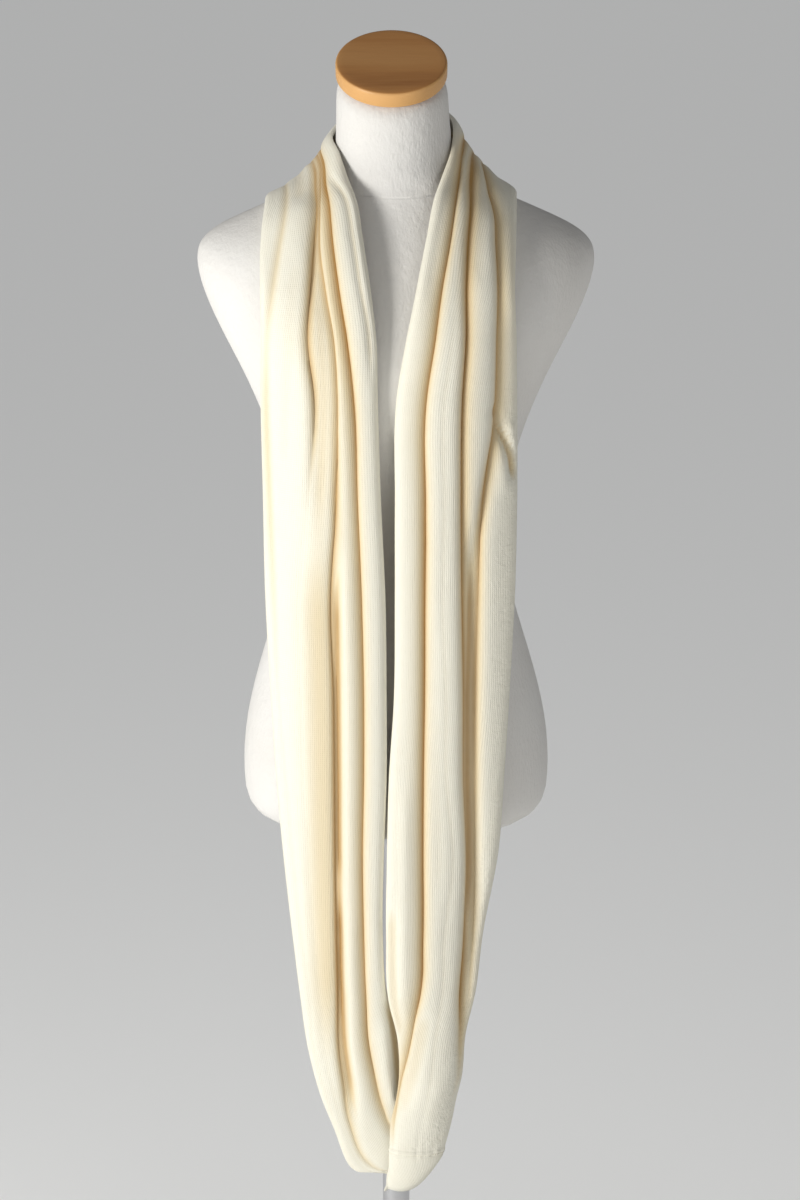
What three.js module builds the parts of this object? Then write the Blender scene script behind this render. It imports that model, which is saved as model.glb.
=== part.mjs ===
// An infinity scarf hung once round the neck of a limbless dress form.
// Millimetres, +Z up, the front faces -Y. The origin is the middle of the stand's underside.

import * as THREE from 'three';

// Driving dimensions of the scarf: its wall, the gap between its stretches, the soft rolls between
// its long folds, and how closely its grid is sampled.

const CLOTH_WALL = 2;
const SEAM_GAP = 0.8;
const SLOPE_REACH = 4;
const ROLL_HEIGHT = 9;
const EDGE_ROLL = 9;
const FOLD_HALF_WIDTH = 6.5;
const FOLD_COUNT = 4;
const STEPS_ACROSS_A_STRIP = 5;
const PANEL_STEP = 44;
const SHOULDER_STEP = 24;
const TURN_STEP = 13;
const NORMAL_STEP_ALONG = 0.5;
const NORMAL_STEP_ACROSS = 0.01;

// Driving dimensions of the dress form and its stand.

const CAP_RADIUS = 52.5;
const CAP_THICKNESS = 16;
const CAP_EDGE_ROUND = 2.5;
const CAP_TILT = THREE.MathUtils.degToRad(29.6);
const CAP_TOP_CENTRE = new THREE.Vector3(-4, -20, 1500);
const NECK_TOP_RADIUS = 52;

const BASE_RADIUS = 190;
const BASE_THICKNESS = 14;
const BASE_EDGE_ROUND = 4;
const POLE_RADIUS = 14;
const FLANGE_RADIUS = 34;
const FLANGE_HEIGHT = 26;
const REST_GAP = 0.3;
const TORSO_SIDES = 40;
const CAP_SIDES = 48;
const BASE_SIDES = 56;
const POLE_SIDES = 28;

// The dress form: one row for each ring, from the flat underside to the root of the neck.
// z, half width, front and back depth, and how square the ring is (2 is an ellipse).

const TORSO_COLUMNS = ['z', 'half', 'front', 'back', 'power'];
const TORSO_RINGS = [
  [742, 148, 99, 110, 2.2],
  [790, 155, 103, 117, 2.2],
  [850, 152, 101, 117, 2.2],
  [920, 133, 93, 101, 2.2],
  [990, 110, 85, 82, 2.2],
  [1040, 106, 85, 79, 2.2],
  [1090, 111, 94, 86, 2.2],
  [1130, 119, 104, 92, 2.2],
  [1165, 131, 110, 96, 2.2],
  [1205, 148, 111, 99, 2.2],
  [1250, 172, 105, 101, 2.2],
  [1288, 188, 94, 100, 2.2],
  [1313, 192.5, 85, 94, 2.1],
  [1330, 189, 77, 87, 1.9],
  [1344, 172, 70, 78, 1.72],
  [1357, 144, 64, 71, 1.62],
  [1368, 118, 60, 65, 1.6],
  [1378, 95, 57, 61, 1.68],
  [1387, 75, 55, 58, 1.82],
];

// The neck leans forward and a little to the left: one row for each ring.
// Ring centre x, y and z, half width, half depth and forward tilt in degrees.

const NECK_COLUMNS = ['x', 'y', 'z', 'half', 'depth', 'tilt'];
const NECK_RINGS = [
  [-0.5, 0, 1399, 61, 55, 3],
  [-1.5, -1, 1414, 56, 52.5, 8],
  [-2.6, -4, 1438, 54, 51.5, 16],
  [-3.3, -8, 1462, 53.2, 51.5, 23],
];

// The scarf: one row for each section of the gathered band. It starts at the joining seam in
// front, climbs the right panel, goes round the nape and down the left panel, turns at the bottom
// and comes back to the seam with a half twist. Each row has the points of the neck-side edge,
// the middle and the far edge, then four folds: place across the band from 0 to 1, and depth.

const BAND_COLUMNS = ['near', 'middle', 'far', 'folds'];
const BAND_ROWS = [
  [[-5.5, -124, 431], [20, -129, 430], [47, -119, 429], [[0.06, 1], [0.50, 1], [0.80, 1], [0.93, 1]]],
  [[-4, -122, 463], [25, -128, 463], [55, -116, 463], [[0.08, 6], [0.50, 1], [0.85, 1], [0.95, 1]]],
  [[1, -119, 485], [29, -126, 485], [59, -112, 485], [[0.09, 8], [0.50, 1], [0.88, 1], [0.96, 1]]],
  [[4, -117, 507], [33, -124, 507], [64, -109, 507], [[0.12, 8], [0.50, 1], [0.90, 2], [0.97, 1]]],
  [[3, -116, 550], [34, -121, 550], [68, -105, 550], [[0.27, 8], [0.55, 1], [0.90, 5], [0.97, 1]]],
  [[-7, -116, 594], [35, -119, 594], [77.5, -102, 594], [[0.40, 9], [0.60, 1], [0.81, 8], [0.92, 3]]],
  [[-9, -116, 657], [36, -118, 657], [85, -97, 657], [[0.42, 9], [0.60, 1], [0.80, 8], [0.91, 4]]],
  [[-8, -116, 741], [42, -117, 741], [99, -93, 741], [[0.37, 9], [0.60, 1], [0.73, 7], [0.82, 4]]],
  [[-6, -115, 824], [47, -117, 824], [104, -91.5, 824], [[0.33, 9], [0.50, 1], [0.65, 7], [0.77, 5]]],
  [[-1, -115, 905], [52, -117, 905], [108, -90, 905], [[0.29, 9], [0.45, 1], [0.60, 8], [0.73, 6]]],
  [[0, -115, 1005], [55, -117, 1005], [112, -88, 1005], [[0.27, 9], [0.40, 1], [0.55, 8], [0.71, 6]]],
  [[0, -116, 1100], [56, -117, 1100], [113, -87, 1100], [[0.27, 9], [0.40, 1], [0.53, 8], [0.72, 7]]],
  [[2, -113.2, 1200], [56, -117, 1200], [112, -87, 1200], [[0.28, 9], [0.40, 1], [0.54, 8], [0.80, 7]]],
  [[11, -111, 1255], [60, -113, 1255], [111, -87.5, 1255], [[0.30, 9], [0.42, 1], [0.54, 8], [0.80, 7]]],
  [[20, -103, 1300], [63, -102, 1298], [110, -86, 1295], [[0.31, 9], [0.42, 1], [0.52, 8], [0.81, 7]]],
  [[29, -85, 1343], [66, -84, 1337], [111, -64.5, 1328], [[0.34, 9], [0.41, 1], [0.51, 8], [0.78, 7]]],
  [[36, -68, 1376], [72, -62, 1367], [112, -42, 1352], [[0.31, 9], [0.38, 1], [0.47, 8], [0.72, 7]]],
  [[44, -49, 1396], [79, -38, 1384], [113, -20, 1368], [[0.24, 9], [0.31, 1], [0.38, 8], [0.58, 7]]],
  [[52, -28, 1415], [84, -15, 1394], [114, 1, 1371.5], [[0.16, 8], [0.23, 1], [0.30, 8], [0.46, 7]]],
  [[55, -4, 1431], [85, 9, 1396], [115, 22, 1368], [[0.14, 8], [0.21, 2], [0.28, 7], [0.42, 6]]],
  [[53, 24, 1441], [83, 37, 1393], [114.5, 45.5, 1353.7], [[0.18, 7], [0.27, 3], [0.36, 7], [0.52, 6]]],
  [[42, 46, 1448], [73, 66, 1388], [106, 75, 1328], [[0.22, 7], [0.33, 4], [0.45, 6], [0.63, 5]]],
  [[23, 60, 1452], [45, 85, 1380], [74, 95, 1302], [[0.24, 7], [0.36, 5], [0.51, 6], [0.72, 5]]],
  [[0, 66, 1454], [0, 92, 1376], [0, 102, 1292], [[0.23, 7], [0.37, 6], [0.54, 6], [0.78, 4]]],
  [[-24, 60, 1451], [-47, 85, 1378], [-76, 95, 1300], [[0.23, 7], [0.37, 6], [0.54, 6], [0.80, 4]]],
  [[-44, 45, 1443], [-77, 65, 1384], [-111.5, 76.5, 1325], [[0.22, 7], [0.35, 6], [0.50, 6], [0.79, 4]]],
  [[-56, 22, 1433], [-88, 37, 1388], [-121, 46.5, 1350], [[0.18, 8], [0.29, 6], [0.41, 6], [0.77, 4]]],
  [[-60.5, -4, 1426], [-89, 9, 1391], [-123, 22, 1363], [[0.14, 8], [0.23, 7], [0.33, 6], [0.74, 3]]],
  [[-54, -28, 1416], [-87, -14, 1388], [-123.4, 0, 1368], [[0.15, 9], [0.24, 7], [0.34, 7], [0.72, 3]]],
  [[-46, -49, 1396], [-84, -38, 1380], [-123, -22, 1362], [[0.20, 9], [0.30, 7], [0.39, 7], [0.72, 3]]],
  [[-37, -66, 1376], [-79, -62, 1367], [-124, -44, 1348], [[0.25, 9], [0.38, 7], [0.45, 7], [0.75, 3]]],
  [[-31, -84, 1343], [-77, -84, 1337], [-125, -63, 1325], [[0.26, 9], [0.41, 7], [0.51, 7], [0.80, 3]]],
  [[-24, -103, 1300], [-74, -101, 1298], [-125, -83, 1295], [[0.25, 9], [0.39, 7], [0.565, 7], [0.87, 3]]],
  [[-19, -111, 1255], [-71, -113, 1255], [-124, -88, 1255], [[0.22, 9], [0.35, 7], [0.61, 7], [0.92, 2]]],
  [[-18, -113.2, 1200], [-71, -116, 1200], [-125, -83, 1200], [[0.17, 9], [0.32, 7], [0.55, 6], [0.93, 3]]],
  [[-15, -116, 1100], [-69, -117, 1100], [-124, -84, 1100], [[0.17, 8], [0.38, 7], [0.60, 1], [0.92, 3]]],
  [[-11, -115, 1005], [-67, -117, 1005], [-123, -86, 1005], [[0.17, 8], [0.47, 7], [0.70, 1], [0.90, 2]]],
  [[-10, -115, 905], [-64, -117, 905], [-119, -88, 905], [[0.17, 8], [0.485, 7], [0.72, 1], [0.90, 1]]],
  [[-10, -115, 824], [-62, -117, 824], [-115, -90, 824], [[0.18, 8], [0.50, 7], [0.74, 1], [0.88, 1]]],
  [[-13, -114, 741], [-59, -116, 741], [-109, -92, 741], [[0.19, 8], [0.53, 7], [0.75, 1], [0.88, 1]]],
  [[-14, -113, 657], [-55, -115, 657], [-101, -94, 657], [[0.19, 8], [0.57, 7], [0.76, 1], [0.88, 1]]],
  [[-10, -107, 596], [-50, -112, 594], [-94, -96, 590], [[0.23, 7], [0.62, 7], [0.78, 1], [0.88, 1]]],
  [[1, -101, 552], [-43, -110, 546], [-87, -97, 534], [[0.31, 7], [0.68, 6], [0.81, 1], [0.92, 1]]],
  [[6, -98, 518], [-35, -107, 504], [-76, -99, 485], [[0.33, 6], [0.72, 5], [0.83, 1], [0.92, 1]]],
  [[9, -98, 492], [-27, -105, 465], [-62, -101, 446], [[0.32, 5], [0.77, 4], [0.86, 1], [0.94, 1]]],
  [[15, -100, 472], [-15, -105, 430], [-45, -102, 403], [[0.30, 3], [0.76, 3], [0.85, 1], [0.94, 1]]],
  [[26, -103, 453], [-3, -106, 411], [-30, -105, 399], [[0.27, 2], [0.70, 2], [0.82, 1], [0.92, 1]]],
  [[36, -105, 440], [10, -109, 400], [-9, -110, 403], [[0.22, 1], [0.58, 1], [0.76, 1], [0.88, 1]]],
  [[41, -108, 429], [17, -113, 393], [-9, -114, 392], [[0.15, 0], [0.50, 0], [0.76, 0], [0.88, 0]]],
  [[44, -113, 422], [20, -121, 388], [-9, -120, 386], [[0.10, 0], [0.50, 0], [0.80, 0], [0.90, 0]]],
  [[45.5, -118, 424], [20, -128, 394], [-8, -125, 392], [[0.07, 0], [0.20, 0], [0.50, 0], [0.90, 0]]],
  [[47, -119, 429], [20, -129, 430], [-5.5, -124, 431], [[0.07, 1], [0.20, 1], [0.50, 1], [0.94, 1]]],
];

// The rolls stand at their full height, a scale of 1, except near the joining seam. They sink to
// SEAM_ROLL over the first rows. Over the last rows they sink to nothing at the keel, the band's
// lowest row, and then stand on the other face, because the half twist turns the band over there.

const SEAM_ROLL = 0.5;
const SEAM_ROLL_ROWS = 3;
const TURN_ROWS_FROM = 46;
const KEEL_ROW = 50;
const SEAM_ROW = BAND_ROWS.length - 1;

function rollScale(rowPlace) {
  if (rowPlace < SEAM_ROLL_ROWS) {
    return SEAM_ROLL + (1 - SEAM_ROLL) * rowPlace / SEAM_ROLL_ROWS;
  }
  if (rowPlace <= TURN_ROWS_FROM) {
    return 1;
  }
  if (rowPlace <= KEEL_ROW) {
    return (KEEL_ROW - rowPlace) / (KEEL_ROW - TURN_ROWS_FROM);
  }
  return (KEEL_ROW - rowPlace) / (SEAM_ROW - KEEL_ROW) * SEAM_ROLL;
}

// The hanging panels pull the rolls flat over the shoulders and the nape. PRESSED_ROLL is the
// share of their height that is left there.

const PRESSED_ROLL = 0.45;
const PRESS_FROM_ROW = 15;
const PRESS_FULL_ROW = 18.5;
const PRESS_LAST_ROW = 27.5;
const PRESS_END_ROW = 31;

function pressedShare(rowPlace) {
  const onset = (rowPlace - PRESS_FROM_ROW) / (PRESS_FULL_ROW - PRESS_FROM_ROW);
  const release = (PRESS_END_ROW - rowPlace) / (PRESS_END_ROW - PRESS_LAST_ROW);
  const pressed = THREE.MathUtils.clamp(Math.min(onset, release), 0, 1);
  return 1 - (1 - PRESSED_ROLL) * pressed;
}

// Materials

function finish(color, roughness, metalness) {
  return new THREE.MeshStandardMaterial({ color, roughness, metalness, side: THREE.DoubleSide });
}

const jersey = finish(0xe9dec2, 0.9, 0);
const plaster = finish(0xe8e6e1, 0.85, 0);
const wood = finish(0xb9743a, 0.55, 0);
const steel = finish(0x8d8f92, 0.4, 0.9);

// Meshes from rings and grids

function addQuad(index, a, b, c, d) {
  index.push(a, b, c, a, c, d);
}

function meshGeometry(points, index) {
  const geometry = new THREE.BufferGeometry();
  geometry.setAttribute('position', new THREE.Float32BufferAttribute(points.flatMap((p) => p.toArray()), 3));
  geometry.setIndex(index);
  geometry.computeVertexNormals();
  return geometry;
}

function loftRings(rings) {
  const sides = rings[0].length;
  const points = rings.flat();
  const index = [];
  for (let ring = 0; ring + 1 < rings.length; ring += 1) {
    for (let side = 0; side < sides; side += 1) {
      const next = (side + 1) % sides;
      const low = ring * sides;
      const high = low + sides;
      addQuad(index, low + side, low + next, high + next, high + side);
    }
  }
  const lowMiddle = points.length;
  points.push(ringMiddle(rings[0]));
  points.push(ringMiddle(rings.at(-1)));
  const top = (rings.length - 1) * sides;
  for (let side = 0; side < sides; side += 1) {
    const next = (side + 1) % sides;
    index.push(lowMiddle, next, side);
    index.push(lowMiddle + 1, top + side, top + next);
  }
  return meshGeometry(points, index);
}

function ringMiddle(ring) {
  const sum = ring.reduce((total, point) => total.add(point), new THREE.Vector3());
  return sum.divideScalar(ring.length);
}

// The dress form

function superRing(row) {
  const points = [];
  for (let side = 0; side < TORSO_SIDES; side += 1) {
    const angle = 2 * Math.PI * side / TORSO_SIDES;
    const across = Math.cos(angle);
    const along = Math.sin(angle);
    const depth = along < 0 ? row.front : row.back;
    const x = row.half * Math.sign(across) * Math.abs(across) ** (2 / row.power);
    const y = depth * Math.sign(along) * Math.abs(along) ** (2 / row.power);
    points.push(new THREE.Vector3(x, y, row.z));
  }
  return points;
}

function neckRing(row) {
  const tilt = THREE.MathUtils.degToRad(row.tilt);
  const points = [];
  for (let side = 0; side < TORSO_SIDES; side += 1) {
    const angle = 2 * Math.PI * side / TORSO_SIDES;
    const along = row.depth * Math.sin(angle);
    const y = row.y + along * Math.cos(tilt);
    const z = row.z + along * Math.sin(tilt);
    points.push(new THREE.Vector3(row.x + row.half * Math.cos(angle), y, z));
  }
  return points;
}

function named(columns, row) {
  return Object.fromEntries(columns.map((column, place) => [column, row[place]]));
}

const capAxis = new THREE.Vector3(0, -Math.sin(CAP_TILT), Math.cos(CAP_TILT));

function dressForm() {
  const neckTop = CAP_TOP_CENTRE.clone().addScaledVector(capAxis, -CAP_THICKNESS - REST_GAP);
  const rings = TORSO_RINGS.map((row) => superRing(named(TORSO_COLUMNS, row)));
  rings.push(...NECK_RINGS.map((row) => neckRing(named(NECK_COLUMNS, row))));
  rings.push(neckRing({
    x: neckTop.x,
    y: neckTop.y,
    z: neckTop.z,
    half: NECK_TOP_RADIUS,
    depth: NECK_TOP_RADIUS,
    tilt: THREE.MathUtils.radToDeg(CAP_TILT),
  }));
  return new THREE.Mesh(loftRings(rings), plaster);
}

function turned(profile, sides, material) {
  const outline = profile.map(([radius, height]) => new THREE.Vector2(radius, height));
  const geometry = new THREE.LatheGeometry(outline, sides);
  geometry.rotateX(Math.PI / 2);
  return new THREE.Mesh(geometry, material);
}

function neckCap() {
  const round = CAP_EDGE_ROUND;
  const profile = [
    [0, -CAP_THICKNESS],
    [CAP_RADIUS - round, -CAP_THICKNESS],
    [CAP_RADIUS, round - CAP_THICKNESS],
    [CAP_RADIUS, -round],
    [CAP_RADIUS - round, 0],
    [0, 0],
  ];
  const cap = turned(profile, CAP_SIDES, wood);
  cap.position.copy(CAP_TOP_CENTRE);
  cap.rotation.x = CAP_TILT;
  return cap;
}

function stand() {
  const round = BASE_EDGE_ROUND;
  const base = turned([
    [0, 0],
    [BASE_RADIUS, 0],
    [BASE_RADIUS, BASE_THICKNESS - round],
    [BASE_RADIUS - round, BASE_THICKNESS],
    [0, BASE_THICKNESS],
  ], BASE_SIDES, steel);
  const poleFoot = BASE_THICKNESS + REST_GAP;
  const poleTop = TORSO_RINGS[0][0] - REST_GAP;
  const pole = turned([
    [0, poleFoot],
    [FLANGE_RADIUS, poleFoot],
    [FLANGE_RADIUS, poleFoot + round],
    [POLE_RADIUS, poleFoot + FLANGE_HEIGHT],
    [POLE_RADIUS, poleTop - FLANGE_HEIGHT],
    [FLANGE_RADIUS, poleTop - round],
    [FLANGE_RADIUS, poleTop],
    [0, poleTop],
  ], POLE_SIDES, steel);
  return { base, pole };
}

// The scarf's band: each row's numbers in one line, the three points and then the folds.

const FIRST_FOLD_COLUMN = 9;
const bandRows = BAND_ROWS.map((row) => {
  const section = named(BAND_COLUMNS, row);
  return [...section.near, ...section.middle, ...section.far, ...section.folds.flat()];
});

// How far along the band each row lies, measured on the line of middle points.

const rowPlaces = bandRows.reduce((places, row, number) => {
  if (number === 0) {
    return [0];
  }
  const before = bandRows[number - 1];
  const length = Math.hypot(row[3] - before[3], row[4] - before[4], row[5] - before[5]);
  return [...places, places[number - 1] + length];
}, []);

const bandLength = rowPlaces.at(-1);

function slopeAt(number, column) {
  const last = bandRows.length - 1;
  const low = Math.max(number - 1, 0);
  const high = Math.min(number + 1, last);
  const rise = (from, to) => (bandRows[to][column] - bandRows[from][column])
    / (rowPlaces[to] - rowPlaces[from]);
  if (low === number || high === number) {
    return rise(low, high);
  }
  const before = rowPlaces[number] - rowPlaces[low];
  const after = rowPlaces[high] - rowPlaces[number];
  return (rise(low, number) * after + rise(number, high) * before) / (before + after);
}

function bandValues(length) {
  let number = rowPlaces.findIndex((place) => place > length) - 1;
  if (number < 0) {
    number = rowPlaces.length - 2;
  }
  const span = rowPlaces[number + 1] - rowPlaces[number];
  const t = (length - rowPlaces[number]) / span;
  const values = bandRows[number].map((value, column) => {
    const after = bandRows[number + 1][column];
    const slopeIn = slopeAt(number, column) * span;
    const slopeOut = slopeAt(number + 1, column) * span;
    return (2 * t ** 3 - 3 * t ** 2 + 1) * value + (t ** 3 - 2 * t ** 2 + t) * slopeIn
      + (3 * t ** 2 - 2 * t ** 3) * after + (t ** 3 - t ** 2) * slopeOut;
  });
  return { values, rowPlace: number + t };
}

function sectionPoint(values, across) {
  const near = (1 - across) * (1 - 2 * across);
  const middle = 4 * across * (1 - across);
  const far = across * (2 * across - 1);
  return new THREE.Vector3(
    near * values[0] + middle * values[3] + far * values[6],
    near * values[1] + middle * values[4] + far * values[7],
    near * values[2] + middle * values[5] + far * values[8],
  );
}

function foldAt(values, number) {
  const [place, depth] = values.slice(FIRST_FOLD_COLUMN + 2 * number);
  return { place, depth };
}

function acrossPlaces(values) {
  const marks = [0];
  for (let number = 0; number < FOLD_COUNT; number += 1) {
    marks.push(foldAt(values, number).place);
  }
  marks.push(1);
  const places = [0];
  for (let strip = 0; strip + 1 < marks.length; strip += 1) {
    for (let step = 1; step <= STEPS_ACROSS_A_STRIP; step += 1) {
      const share = step / STEPS_ACROSS_A_STRIP;
      places.push(marks[strip] + share * (marks[strip + 1] - marks[strip]));
    }
  }
  return places;
}

function rollHeight(values, across, width) {
  const edge = Math.min(across, 1 - across) * width;
  const crown = edge >= EDGE_ROLL ? 1 : Math.sqrt(1 - (1 - edge / EDGE_ROLL) ** 2);
  let height = ROLL_HEIGHT * crown;
  for (let number = 0; number < FOLD_COUNT; number += 1) {
    const fold = foldAt(values, number);
    const away = (across - fold.place) * width / FOLD_HALF_WIDTH;
    height -= fold.depth * crown / (1 + away ** 2);
  }
  return Math.max(height, 0);
}

function baseNormal(length, across) {
  const before = bandValues(Math.max(length - NORMAL_STEP_ALONG, 0)).values;
  const after = bandValues(Math.min(length + NORMAL_STEP_ALONG, bandLength)).values;
  const here = bandValues(length).values;
  const along = sectionPoint(after, across).sub(sectionPoint(before, across));
  const low = Math.max(across - NORMAL_STEP_ACROSS, 0);
  const high = Math.min(across + NORMAL_STEP_ACROSS, 1);
  const sideways = sectionPoint(here, high).sub(sectionPoint(here, low));
  return sideways.cross(along).normalize();
}

function sectionAt(length) {
  const { values, rowPlace } = bandValues(length);
  const near = sectionPoint(values, 0);
  const far = sectionPoint(values, 1);
  const width = near.distanceTo(sectionPoint(values, 0.5)) + far.distanceTo(sectionPoint(values, 0.5));
  const scale = rollScale(rowPlace) * pressedShare(rowPlace);
  return acrossPlaces(values).map((across) => {
    const height = scale * rollHeight(values, across, width);
    return sectionPoint(values, across).addScaledVector(baseNormal(length, across), height);
  });
}

function gridNormal(grid, row, column) {
  const right = grid[row][Math.min(column + 1, grid[row].length - 1)];
  const left = grid[row][Math.max(column - 1, 0)];
  const along = grid[row + 1][column].clone().sub(grid[row - 1][column]);
  return right.clone().sub(left).cross(along).normalize();
}

// A wall on a grid of points. The grid's first and last lines only give the slope at the ends.

function wall(grid) {
  const rows = grid.length - 2;
  const columns = grid[0].length;
  const points = [];
  for (const side of [1, -1]) {
    for (let row = 1; row <= rows; row += 1) {
      grid[row].forEach((point, column) => {
        const shift = side * CLOTH_WALL / 2;
        points.push(point.clone().addScaledVector(gridNormal(grid, row, column), shift));
      });
    }
  }
  const index = [];
  const back = rows * columns;
  const at = (row, column) => row * columns + column;
  for (let row = 0; row + 1 < rows; row += 1) {
    for (let column = 0; column + 1 < columns; column += 1) {
      const corners = [at(row, column), at(row, column + 1), at(row + 1, column + 1), at(row + 1, column)];
      addQuad(index, ...corners);
      addQuad(index, ...corners.reverse().map((corner) => corner + back));
    }
    const first = [at(row, 0), at(row + 1, 0)];
    const last = [at(row + 1, columns - 1), at(row, columns - 1)];
    addQuad(index, first[0], first[1], first[1] + back, first[0] + back);
    addQuad(index, last[0], last[1], last[1] + back, last[0] + back);
  }
  for (let column = 0; column + 1 < columns; column += 1) {
    const first = [at(0, column + 1), at(0, column)];
    const last = [at(rows - 1, column), at(rows - 1, column + 1)];
    addQuad(index, first[0], first[1], first[1] + back, first[0] + back);
    addQuad(index, last[0], last[1], last[1] + back, last[0] + back);
  }
  return meshGeometry(points, index);
}

// One stretch of the band, between two rows of the table, short by half a seam gap at each end.

function stretch(fromRow, toRow, step) {
  const from = rowPlaces[fromRow] + SEAM_GAP / 2;
  const to = rowPlaces[toRow] - SEAM_GAP / 2;
  const places = [from - SLOPE_REACH, from];
  let low = from + SLOPE_REACH;
  for (let row = fromRow + 1; row <= toRow; row += 1) {
    const high = Math.min(rowPlaces[row], to - SLOPE_REACH);
    const count = Math.max(1, Math.round((high - low) / step));
    for (let number = 0; number < count; number += 1) {
      places.push(low + (high - low) * number / count);
    }
    low = high;
  }
  places.push(low, to, to + SLOPE_REACH);
  const grid = places.map((place) => sectionAt(THREE.MathUtils.clamp(place, 0, bandLength)));
  return new THREE.Mesh(wall(grid), jersey);
}

const RIGHT_SHOULDER_ROW = 19;
const LEFT_SHOULDER_ROW = 27;
const LEFT_TURN_ROW = 41;

const { base, pole } = stand();
const parts = {
  stand_base: base,
  stand_pole: pole,
  form_torso: dressForm(),
  form_neck_cap: neckCap(),
  scarf_right_front: stretch(0, RIGHT_SHOULDER_ROW, PANEL_STEP),
  scarf_behind_neck: stretch(RIGHT_SHOULDER_ROW, LEFT_SHOULDER_ROW, SHOULDER_STEP),
  scarf_left_front: stretch(LEFT_SHOULDER_ROW, LEFT_TURN_ROW, PANEL_STEP),
  scarf_bottom_turn: stretch(LEFT_TURN_ROW, SEAM_ROW, TURN_STEP),
};

const group = new THREE.Group();
for (const [name, mesh] of Object.entries(parts)) {
  mesh.name = name;
  group.add(mesh);
}

export default group;
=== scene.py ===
# %% [markdown]
# # An infinity scarf on a dress form
# The scarf is one tube of ivory jersey sewn into a loop and hung once round the neck of a plain
# white dress form with a wooden neck cap. The rigid model comes first, as a fixed frame. Every
# piece below goes where that frame says, in metres, with its place in its mesh.

# %% Frame
import math

import bmesh
import bpy
import numpy as np
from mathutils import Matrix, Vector


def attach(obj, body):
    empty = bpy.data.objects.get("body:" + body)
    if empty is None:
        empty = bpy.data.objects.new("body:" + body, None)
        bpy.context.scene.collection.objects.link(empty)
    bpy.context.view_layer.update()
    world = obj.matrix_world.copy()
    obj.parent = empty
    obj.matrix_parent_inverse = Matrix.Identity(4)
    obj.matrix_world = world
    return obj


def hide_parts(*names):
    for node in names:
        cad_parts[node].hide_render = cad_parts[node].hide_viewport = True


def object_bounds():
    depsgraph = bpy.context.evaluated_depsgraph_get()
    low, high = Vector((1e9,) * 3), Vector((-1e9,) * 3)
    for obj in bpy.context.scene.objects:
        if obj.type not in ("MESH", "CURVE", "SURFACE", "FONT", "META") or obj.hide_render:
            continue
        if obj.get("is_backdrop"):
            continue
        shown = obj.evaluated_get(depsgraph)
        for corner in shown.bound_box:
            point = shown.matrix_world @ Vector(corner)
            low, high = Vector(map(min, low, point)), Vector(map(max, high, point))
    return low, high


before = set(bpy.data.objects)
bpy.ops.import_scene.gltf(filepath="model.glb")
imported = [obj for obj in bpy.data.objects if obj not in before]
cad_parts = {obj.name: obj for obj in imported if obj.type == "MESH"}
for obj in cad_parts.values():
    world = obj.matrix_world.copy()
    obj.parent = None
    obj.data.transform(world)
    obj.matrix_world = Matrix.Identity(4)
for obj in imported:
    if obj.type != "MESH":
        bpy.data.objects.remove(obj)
MM = 0.001
model_low, model_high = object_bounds()
print("the model stands", round(model_high.z, 3), "m tall on", sorted(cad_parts))

# %% [markdown]
# The view is the photograph's: a long lens held above the neck cap and tipped down by sixteen
# degrees. It is set before anything is modelled.

# %% Camera
LENS = 85
SENSOR_WIDTH = 36
CAMERA_PLACE = Vector((0.004, -2.706, 1.746))
CAMERA_TIP_DOWN = math.radians(16)

camera_data = bpy.data.cameras.new("camera")
camera_data.lens = LENS
camera_data.sensor_width = SENSOR_WIDTH
camera = bpy.data.objects.new("camera", camera_data)
camera.location = CAMERA_PLACE
camera.rotation_euler = (math.pi / 2 - CAMERA_TIP_DOWN, 0, 0)
bpy.context.collection.objects.link(camera)
bpy.context.scene.camera = camera
print("a", LENS, "mm lens stands", round(-CAMERA_PLACE.y, 2), "m in front of the form")

# %% [markdown]
# The light is a studio's: one soft box on the left, at the height of the chest, so that each long
# fold has a bright side and a warm shaded one, and the cap's top stays darker than its rim. A weak
# fill beside the camera keeps the shaded side readable, and the sky is weak, because a strong
# one would flatten the folds. The Standard view keeps the cloth's pale colours as they are.

# %% Light
KEY_PLACE = (-2.10, -1.72, 1.32)
KEY_AIM = (0, 0, 1.0)
KEY_SIZE = 0.8
KEY_POWER = 62
KEY_COLOUR = (1.0, 0.99, 0.965)
FILL_PLACE = (1.5, -2.9, 1.5)
FILL_SIZE = 1.4
FILL_POWER = 12
FILL_COLOUR = (1.0, 0.985, 0.96)
SKY_STRENGTH = 0.16
SKY_COLOUR = (0.95, 0.97, 1.0, 1)


def area_light(name, place, aim, size, power, colour):
    data = bpy.data.lights.new(name, "AREA")
    data.size = size
    data.energy = power
    data.color = colour
    light = bpy.data.objects.new(name, data)
    light.location = place
    direction = Vector(aim) - Vector(place)
    light.rotation_euler = direction.to_track_quat("-Z", "Y").to_euler()
    bpy.context.collection.objects.link(light)
    print(name, "light of", power, "watts,", size, "m wide")


area_light("key", KEY_PLACE, KEY_AIM, KEY_SIZE, KEY_POWER, KEY_COLOUR)
area_light("fill", FILL_PLACE, KEY_AIM, FILL_SIZE, FILL_POWER, FILL_COLOUR)

world = bpy.data.worlds.new("world")
world.use_nodes = True
sky = world.node_tree.nodes["Background"]
sky.inputs["Color"].default_value = SKY_COLOUR
sky.inputs["Strength"].default_value = SKY_STRENGTH
bpy.context.scene.world = world
bpy.context.scene.view_settings.view_transform = "Standard"

# %% [markdown]
# Shader maths reads best as plain sums. This small class wraps one socket, and an operator on it
# adds a Math node. One method makes every other node from its type, its settings and the values
# or links of its sockets. A Mix node has several sockets of one name, so for colours its sockets
# are found by number.

# %% Shader helpers
MIX_AMOUNT, MIX_FIRST, MIX_SECOND, MIX_RESULT = 0, 6, 7, 2


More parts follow.
